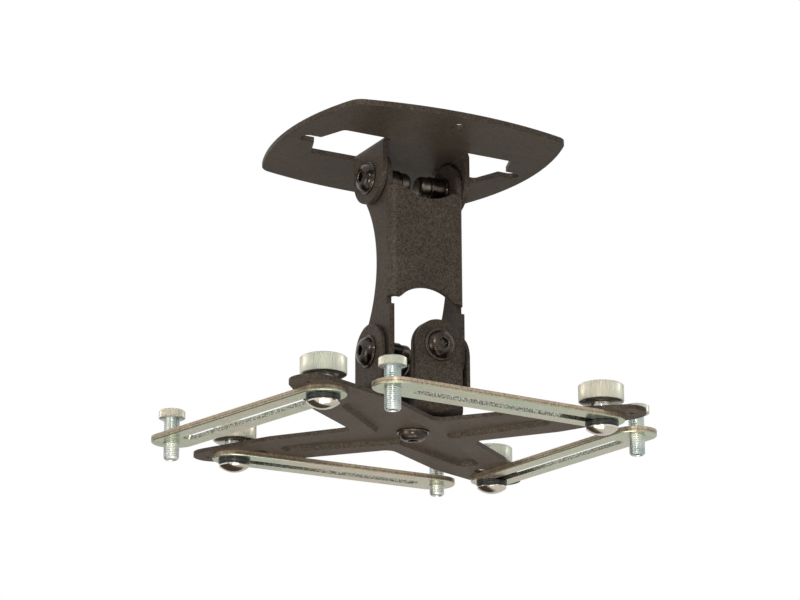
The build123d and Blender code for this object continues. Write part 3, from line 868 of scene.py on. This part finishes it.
# For each pivot: its screw and where the head points, its nut and where the tip points,
# the body that both ride on, and how far up the nut the groove lies
pivots = [
    ("upperLeft", "upper_screw_left", "-x", "upper_nut_left", "+x", "column", 10.6),
    ("upperRight", "upper_screw_right", "+x", "upper_nut_right", "-x", "column", 10.6),
    ("lowerLeft", "lower_screw_left", "-x", "lower_nut_left", "+x", "column", 10.6),
    ("lowerRight", "lower_screw_right", "+x", "lower_nut_right", "-x", "column", 10.6),
    ("rollFront", "roll_screw_front", "-y", "roll_nut_front", "+y", "tilt_bracket", 6.0),
    ("rollBack", "roll_screw_back", "+y", "roll_nut_back", "-y", "tilt_bracket", 6.0),
]
for place, screw, screwWay, nut, nutWay, body, step in pivots:
    makePivotScrew(f"pivotScrew_{place}", screw, screwWay, body)
    makeCapNut(f"capNut_{place}", nut, nutWay, body, step)
makePivotScrew("swivelScrew", "swivel_screw", "-z", "roll_bracket")
print("pivot screws and cap nuts turned")

# Swivel nut: hexagon with chamfered corners, inside the roll bracket
hexNut = {
    "across": 6.5,
    "bore": 4.05,
    "boreBreak": 0.4,
    "faceInset": 0.41,
    "chamferHeight": 0.63,
    "steps": 96,
}


def makeHexNut():
    matrix, tall = standOn("swivel_nut", "+z")
    h = hexNut
    face = h["across"] - h["faceInset"]
    rings = roundRings("oxide", [(0, h["bore"]), (0, face)])
    rings += [
        (h["chamferHeight"], h["across"], "hex", "oxide"),
        (tall - h["chamferHeight"], h["across"], "hex", "oxide"),
    ]
    rings += roundRings("oxide", [
        (tall, face),
        (tall, h["bore"] + h["boreBreak"]),
        (tall - h["boreBreak"], h["bore"]),
        (0, h["bore"]),
    ])
    turnedPiece("swivelNut", rings, h["steps"], matrix, "roll_bracket", "swivel_nut")


makeHexNut()
print("swivel nut made")


# Viewpoint of the photograph, in metres and degrees
viewpoint = {
    "azimuth": 28.756,
    "elevation": 17.088,
    "roll": -0.241,
    "distance": 1.40661,
    "aim": (0.0, 0.0, -0.090),
    "right": -0.006657,
    "up": 0.004512,
    "lens": 117.0,
    "nearest": 0.05,
    "farthest": 20,
}


def placeCamera():
    turn = math.radians(viewpoint["azimuth"])
    rise = math.radians(viewpoint["elevation"])
    lean = math.radians(viewpoint["roll"])
    ahead = Vector((
        math.sin(turn) * math.cos(rise),
        math.cos(turn) * math.cos(rise),
        math.sin(rise),
    ))
    right = ahead.cross(Vector((0, 0, 1))).normalized()
    up = right.cross(ahead)
    rightRolled = math.cos(lean) * right + math.sin(lean) * up
    upRolled = math.cos(lean) * up - math.sin(lean) * right
    spot = Vector(viewpoint["aim"])
    spot += viewpoint["right"] * rightRolled + viewpoint["up"] * upRolled
    spot -= viewpoint["distance"] * ahead
    data = bpy.data.cameras.new("photoCamera")
    data.lens = viewpoint["lens"]
    data.clip_start, data.clip_end = viewpoint["nearest"], viewpoint["farthest"]
    camera = bpy.data.objects.new("photoCamera", data)
    bpy.context.collection.objects.link(camera)
    camera.matrix_world = Matrix((
        (rightRolled.x, upRolled.x, -ahead.x, spot.x),
        (rightRolled.y, upRolled.y, -ahead.y, spot.y),
        (rightRolled.z, upRolled.z, -ahead.z, spot.z),
        (0, 0, 0, 1),
    ))
    bpy.context.scene.camera = camera
    return rightRolled, upRolled, ahead


right, up, ahead = placeCamera()
print("camera placed")

# Soft lamps, given as distances to the right of, above and before the camera's aim
# name: right, up, toward, size in metres, watts, tint
lamps = {
    "keyFlash": (-0.10, -0.36, 1.30, 0.12, 5.0, (1.0, 0.96, 0.90)),
    "highStrip": (-0.04, 0.80, 1.15, 0.20, 4.5, (1.0, 0.98, 0.95)),
    "leftSoftbox": (-1.2, -0.15, 0.8, 0.7, 6.0, (1.0, 0.95, 0.88)),
    "rightSoftbox": (1.1, 0.1, 1.0, 0.9, 2.0, (0.97, 0.98, 1.0)),
    "lowBounce": (0.0, -0.50, 0.22, 0.30, 0.9, (1.0, 0.91, 0.80)),
}


def hangLamps():
    aim = Vector(viewpoint["aim"])
    for name, (aside, above, toward, size, watts, tint) in lamps.items():
        data = bpy.data.lights.new(name, "AREA")
        data.size = size
        data.energy = watts
        data.color = tint
        light = bpy.data.objects.new(name, data)
        bpy.context.collection.objects.link(light)
        light.location = aim + aside * right + above * up - toward * ahead
        light.rotation_mode = "QUATERNION"
        light.rotation_quaternion = (aim - light.location).to_track_quat("-Z", "Y")


hangLamps()

# World: plain white to the camera and in reflections, dimmer as light
studio = {
    "ambient": 0.20,
    "seen": 1.0,
    "floorDrop": -1.05,
    "floorSize": 40.0,
    "floorTint": (0.86, 0.84, 0.81),
    "floorGlow": 0.55,
    "floorPale": 0.62,
    "floorRough": 0.85,
    "mottle": 3.0,
    "dim": 0.97,
}


def shineOn(tree):
    path = tree.nodes.new("ShaderNodeLightPath")
    mirrored, through = path.outputs["Is Glossy Ray"], path.outputs["Is Transmission Ray"]
    return mathsOn(tree, "MAXIMUM", mirrored, through)


def seenAsBackdrop(tree):
    path = tree.nodes.new("ShaderNodeLightPath")
    return mathsOn(tree, "MAXIMUM", path.outputs["Is Camera Ray"], shineOn(tree))


def makeWorld():
    world = bpy.data.worlds.new("studioWhite")
    bpy.context.scene.world = world
    world.use_nodes = True
    tree = world.node_tree
    background = tree.nodes["Background"]
    background.inputs["Color"].default_value = (1, 1, 1, 1)
    span = tree.nodes.new("ShaderNodeMapRange")
    span.inputs["To Min"].default_value = studio["ambient"]
    span.inputs["To Max"].default_value = studio["seen"]
    tree.links.new(seenAsBackdrop(tree), span.inputs["Value"])
    tree.links.new(span.outputs["Result"], background.inputs["Strength"])


def layFloor():
    bm = bmesh.new()
    bmesh.ops.create_grid(bm, x_segments=4, y_segments=4, size=studio["floorSize"] / 2)
    floor, data = newObject("studioFloor", bm)
    floor.location.z = studio["floorDrop"]
    mat, tree, shader, where = newMaterial("paleFloor")
    mottle = noiseOn(tree, where, studio["mottle"], detail=2.0)
    pale = studio["floorTint"]
    dim = tuple(studio["dim"] * part for part in pale)
    tree.links.new(rampOn(tree, mottle, [(0.3, dim), (0.7, pale)]), shader.inputs["Base Color"])
    shader.inputs["Roughness"].default_value = studio["floorRough"]
    shader.inputs["Emission Color"].default_value = (*pale, 1)
    seen = tree.nodes.new("ShaderNodeLightPath").outputs["Is Camera Ray"]
    mirrored = multiply(tree, shineOn(tree), studio["floorGlow"])
    glow = mathsOn(tree, "MULTIPLY_ADD", seen, studio["floorPale"], mirrored)
    tree.links.new(glow, shader.inputs["Emission Strength"])
    # A camera below the floor looks through it
    geometry = tree.nodes.new("ShaderNodeNewGeometry")
    below = multiply(tree, seen, geometry.outputs["Backfacing"])
    tree.links.new(rampOn(tree, below, [(0.0, 1.0), (1.0, 0.0)]), shader.inputs["Alpha"])
    data.materials.append(mat)


# Brown sheet above the floor, left of and beyond the object, seen only in the bright metal
brownMat = {
    "right": -0.80,
    "beyond": 0.52,
    "wide": 2.0,
    "deep": 1.25,
    "height": -0.618,
    "tint": (0.20, 0.14, 0.10),
    "faint": 0.8,
    "mottle": 4.0,
    "rough": 0.9,
    "solidTo": 0.88,
}


def layMat():
    bm = bmesh.new()
    across = Vector((right.x, right.y, 0)).normalized()
    away = Vector((ahead.x, ahead.y, 0)).normalized()
    middle = brownMat["right"] * across + brownMat["beyond"] * away
    middle.z = brownMat["height"]
    corners = [
        bm.verts.new((a * brownMat["wide"] / 2, b * brownMat["deep"] / 2, 0))
        for a, b in ((-1, -1), (1, -1), (1, 1), (-1, 1))
    ]
    bm.faces.new(corners)
    sheet, data = newObject("brownMat", bm)
    sheet.location = middle
    sheet.rotation_euler.z = math.atan2(across.y, across.x)
    sheet.visible_camera = sheet.visible_diffuse = sheet.visible_shadow = False
    mat, tree, shader, where = newMaterial("matBrown")
    mottle = noiseOn(tree, where, brownMat["mottle"], detail=2.0)
    faint = tuple(brownMat["faint"] * part for part in brownMat["tint"])
    colour = rampOn(tree, mottle, [(0.3, faint), (0.7, brownMat["tint"])])
    tree.links.new(colour, shader.inputs["Base Color"])
    shader.inputs["Roughness"].default_value = brownMat["rough"]
    spread = tree.nodes.new("ShaderNodeMapping")
    spread.inputs["Scale"].default_value = (2 / brownMat["wide"], 2 / brownMat["deep"], 1)
    tree.links.new(where, spread.inputs["Vector"])
    reach = tree.nodes.new("ShaderNodeVectorMath")
    reach.operation = "LENGTH"
    tree.links.new(spread.outputs["Vector"], reach.inputs[0])
    fade = rampOn(tree, reach.outputs["Value"], [(brownMat["solidTo"], 1.0), (1.0, 0.0)])
    tree.links.new(fade, shader.inputs["Alpha"])
    data.materials.append(mat)


makeWorld()
layFloor()
layMat()
print("lights, world and floor set")

bpy.context.scene.view_settings.view_transform = "Standard"
